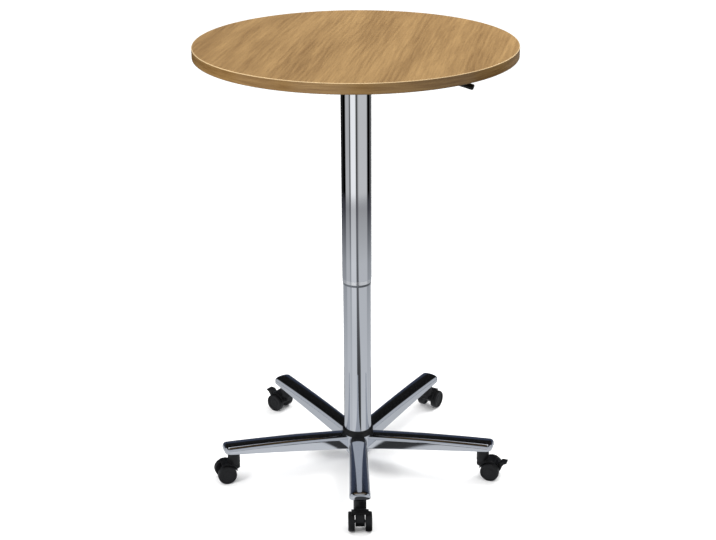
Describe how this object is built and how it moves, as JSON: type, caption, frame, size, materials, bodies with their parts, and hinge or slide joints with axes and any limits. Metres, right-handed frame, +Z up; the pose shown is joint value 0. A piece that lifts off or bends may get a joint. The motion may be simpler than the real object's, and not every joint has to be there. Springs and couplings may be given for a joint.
{
  "type": "standing meeting table",
  "caption": "Round wood-grain board on a telescopic chrome column with gas spring and hand lever, over a polished star base on braked twin-wheel castors.",
  "frame": {"origin": "on the floor, on the column's axis", "axes": "+Z up along the column; -Y along the first arm, towards the front; +X to the right seen from the front"},
  "size_m": [0.8, 0.8, 1.15],
  "materials": {
    "wood_laminate": "satin laminate with a light walnut grain, edge band to match",
    "chipboard": "raw chipboard, hidden under the laminate and the edge band",
    "backing_laminate": "plain matt backing laminate in the board's colour",
    "chromed_steel": "bright chrome plating on steel",
    "polished_aluminium": "die-cast aluminium, polished and chrome-bright",
    "cast_aluminium": "as cast, with machined bores",
    "black_painted_steel": "black powder coat",
    "zinc_steel": "zinc-plated steel",
    "black_plastic": "moulded black plastic, fine grain",
    "grey_plastic": "moulded grey bearing plastic, satin",
    "castor_plastic": "moulded black nylon, satin",
    "wheel_plastic": "black nylon wheel with a smooth satin tread",
    "black_rubber": "moulded black rubber"
  },
  "bodies": {
    "base": {"five_star_base": "polished_aluminium", "castor_sockets": "black_painted_steel", "castor_1_stem": "black_painted_steel", "castor_2_stem": "black_painted_steel", "castor_3_stem": "black_painted_steel", "castor_4_stem": "black_painted_steel", "castor_5_stem": "black_painted_steel", "lower_tube": "chromed_steel", "foot_plate": "zinc_steel", "foot_screws": "zinc_steel", "base_collar": "black_plastic", "upper_guide": "black_plastic", "bearing_lower_washer": "zinc_steel", "bearing_ball_cage": "zinc_steel"},
    "piston": {"piston_rod": "chromed_steel", "retaining_clip": "zinc_steel", "bearing_upper_washer": "zinc_steel", "rod_bumper": "black_rubber"},
    "top": {"tabletop_core": "chipboard", "top_laminate": "wood_laminate", "backing_laminate": "backing_laminate", "edge_band": "wood_laminate", "mounting_plate": "black_painted_steel", "board_screws": "zinc_steel", "casting_screws": "zinc_steel", "head_casting": "cast_aluminium", "tube_screws": "zinc_steel", "gas_cylinder": "black_painted_steel", "cylinder_gland": "zinc_steel", "upper_tube": "chromed_steel", "trim_ring": "chromed_steel", "lower_guide": "grey_plastic", "lever_pin": "zinc_steel"},
    "lever": {"lever_arm": "black_painted_steel", "lever_handle": "black_plastic"},
    "button": {"release_button": "zinc_steel"},
    "castor_1": {"castor_1_housing": "castor_plastic", "castor_1_axle": "zinc_steel"},
    "castor_1_left_wheel": {"castor_1_wheel_left": "wheel_plastic"},
    "castor_1_right_wheel": {"castor_1_wheel_right": "wheel_plastic"},
    "castor_2": {"castor_2_housing": "castor_plastic", "castor_2_axle": "zinc_steel"},
    "castor_2_left_wheel": {"castor_2_wheel_left": "wheel_plastic"},
    "castor_2_right_wheel": {"castor_2_wheel_right": "wheel_plastic"},
    "castor_2_pedal": {"castor_2_brake_pedal": "castor_plastic"},
    "castor_3": {"castor_3_housing": "castor_plastic", "castor_3_axle": "zinc_steel"},
    "castor_3_left_wheel": {"castor_3_wheel_left": "wheel_plastic"},
    "castor_3_right_wheel": {"castor_3_wheel_right": "wheel_plastic"},
    "castor_4": {"castor_4_housing": "castor_plastic", "castor_4_axle": "zinc_steel"},
    "castor_4_left_wheel": {"castor_4_wheel_left": "wheel_plastic"},
    "castor_4_right_wheel": {"castor_4_wheel_right": "wheel_plastic"},
    "castor_4_pedal": {"castor_4_brake_pedal": "castor_plastic"},
    "castor_5": {"castor_5_housing": "castor_plastic", "castor_5_axle": "zinc_steel"},
    "castor_5_left_wheel": {"castor_5_wheel_left": "wheel_plastic"},
    "castor_5_right_wheel": {"castor_5_wheel_right": "wheel_plastic"}
  },
  "joints": [
    {"name": "column_swivel", "type": "hinge", "parent": "base", "child": "piston", "pos_m": [0, 0, 0.064], "axis": [0, 0, 1], "continuous": true},
    {"name": "column_lift", "type": "slide", "parent": "piston", "child": "top", "axis": [0, 0, 1], "range_m": [-0.4, 0]},
    {"name": "lever_pivot", "type": "hinge", "parent": "top", "child": "lever", "pos_m": [0.02568, -0.00834, 1.1091], "axis": [-0.309, -0.9511, 0], "range_deg": [0, 6.5], "stiffness_Nm_per_rad": 20},
    {"name": "button_slide", "type": "slide", "parent": "top", "child": "button", "axis": [0, 0, -1], "range_m": [0, 0.0031]},
    {"name": "castor_1_swivel", "type": "hinge", "parent": "base", "child": "castor_1", "pos_m": [0, -0.3485, 0.065], "axis": [0, 0, 1], "continuous": true},
    {"name": "castor_1_left_roll", "type": "hinge", "parent": "castor_1", "child": "castor_1_left_wheel", "pos_m": [0, -0.3725, 0.025], "axis": [1, 0, 0], "continuous": true},
    {"name": "castor_1_right_roll", "type": "hinge", "parent": "castor_1", "child": "castor_1_right_wheel", "pos_m": [0, -0.3725, 0.025], "axis": [1, 0, 0], "continuous": true},
    {"name": "castor_2_swivel", "type": "hinge", "parent": "base", "child": "castor_2", "pos_m": [0.33144, -0.10769, 0.065], "axis": [0, 0, 1], "continuous": true},
    {"name": "castor_2_left_roll", "type": "hinge", "parent": "castor_2", "child": "castor_2_left_wheel", "pos_m": [0.35427, -0.11511, 0.025], "axis": [0.309, 0.9511, 0], "continuous": true},
    {"name": "castor_2_right_roll", "type": "hinge", "parent": "castor_2", "child": "castor_2_right_wheel", "pos_m": [0.35427, -0.11511, 0.025], "axis": [0.309, 0.9511, 0], "continuous": true},
    {"name": "castor_2_brake", "type": "hinge", "parent": "castor_2", "child": "castor_2_pedal", "pos_m": [0.36758, -0.11943, 0.04], "axis": [0.309, 0.9511, 0], "range_deg": [0, 20]},
    {"name": "castor_3_swivel", "type": "hinge", "parent": "base", "child": "castor_3", "pos_m": [0.20484, 0.28194, 0.065], "axis": [0, 0, 1], "continuous": true},
    {"name": "castor_3_left_roll", "type": "hinge", "parent": "castor_3", "child": "castor_3_left_wheel", "pos_m": [0.21756, 0.3023, 0.025], "axis": [-0.848, 0.5299, 0], "continuous": true},
    {"name": "castor_3_right_roll", "type": "hinge", "parent": "castor_3", "child": "castor_3_right_wheel", "pos_m": [0.21756, 0.3023, 0.025], "axis": [-0.848, 0.5299, 0], "continuous": true},
    {"name": "castor_4_swivel", "type": "hinge", "parent": "base", "child": "castor_4", "pos_m": [-0.20484, 0.28194, 0.065], "axis": [0, 0, 1], "continuous": true},
    {"name": "castor_4_left_roll", "type": "hinge", "parent": "castor_4", "child": "castor_4_left_wheel", "pos_m": [-0.22376, 0.29672, 0.025], "axis": [-0.6157, -0.788, 0], "continuous": true},
    {"name": "castor_4_right_roll", "type": "hinge", "parent": "castor_4", "child": "castor_4_right_wheel", "pos_m": [-0.22376, 0.29672, 0.025], "axis": [-0.6157, -0.788, 0], "continuous": true},
    {"name": "castor_4_brake", "type": "hinge", "parent": "castor_4", "child": "castor_4_pedal", "pos_m": [-0.23479, 0.30534, 0.04], "axis": [-0.6157, -0.788, 0], "range_deg": [0, 20]},
    {"name": "castor_5_swivel", "type": "hinge", "parent": "base", "child": "castor_5", "pos_m": [-0.33144, -0.10769, 0.065], "axis": [0, 0, 1], "continuous": true},
    {"name": "castor_5_left_roll", "type": "hinge", "parent": "castor_5", "child": "castor_5_left_wheel", "pos_m": [-0.35427, -0.11511, 0.025], "axis": [0.309, -0.9511, 0], "continuous": true},
    {"name": "castor_5_right_roll", "type": "hinge", "parent": "castor_5", "child": "castor_5_right_wheel", "pos_m": [-0.35427, -0.11511, 0.025], "axis": [0.309, -0.9511, 0], "continuous": true}
  ],
  "couplings": [
    {"joint": "button_slide", "follows": "lever_pivot", "m_per_rad": 0.027}
  ]
}
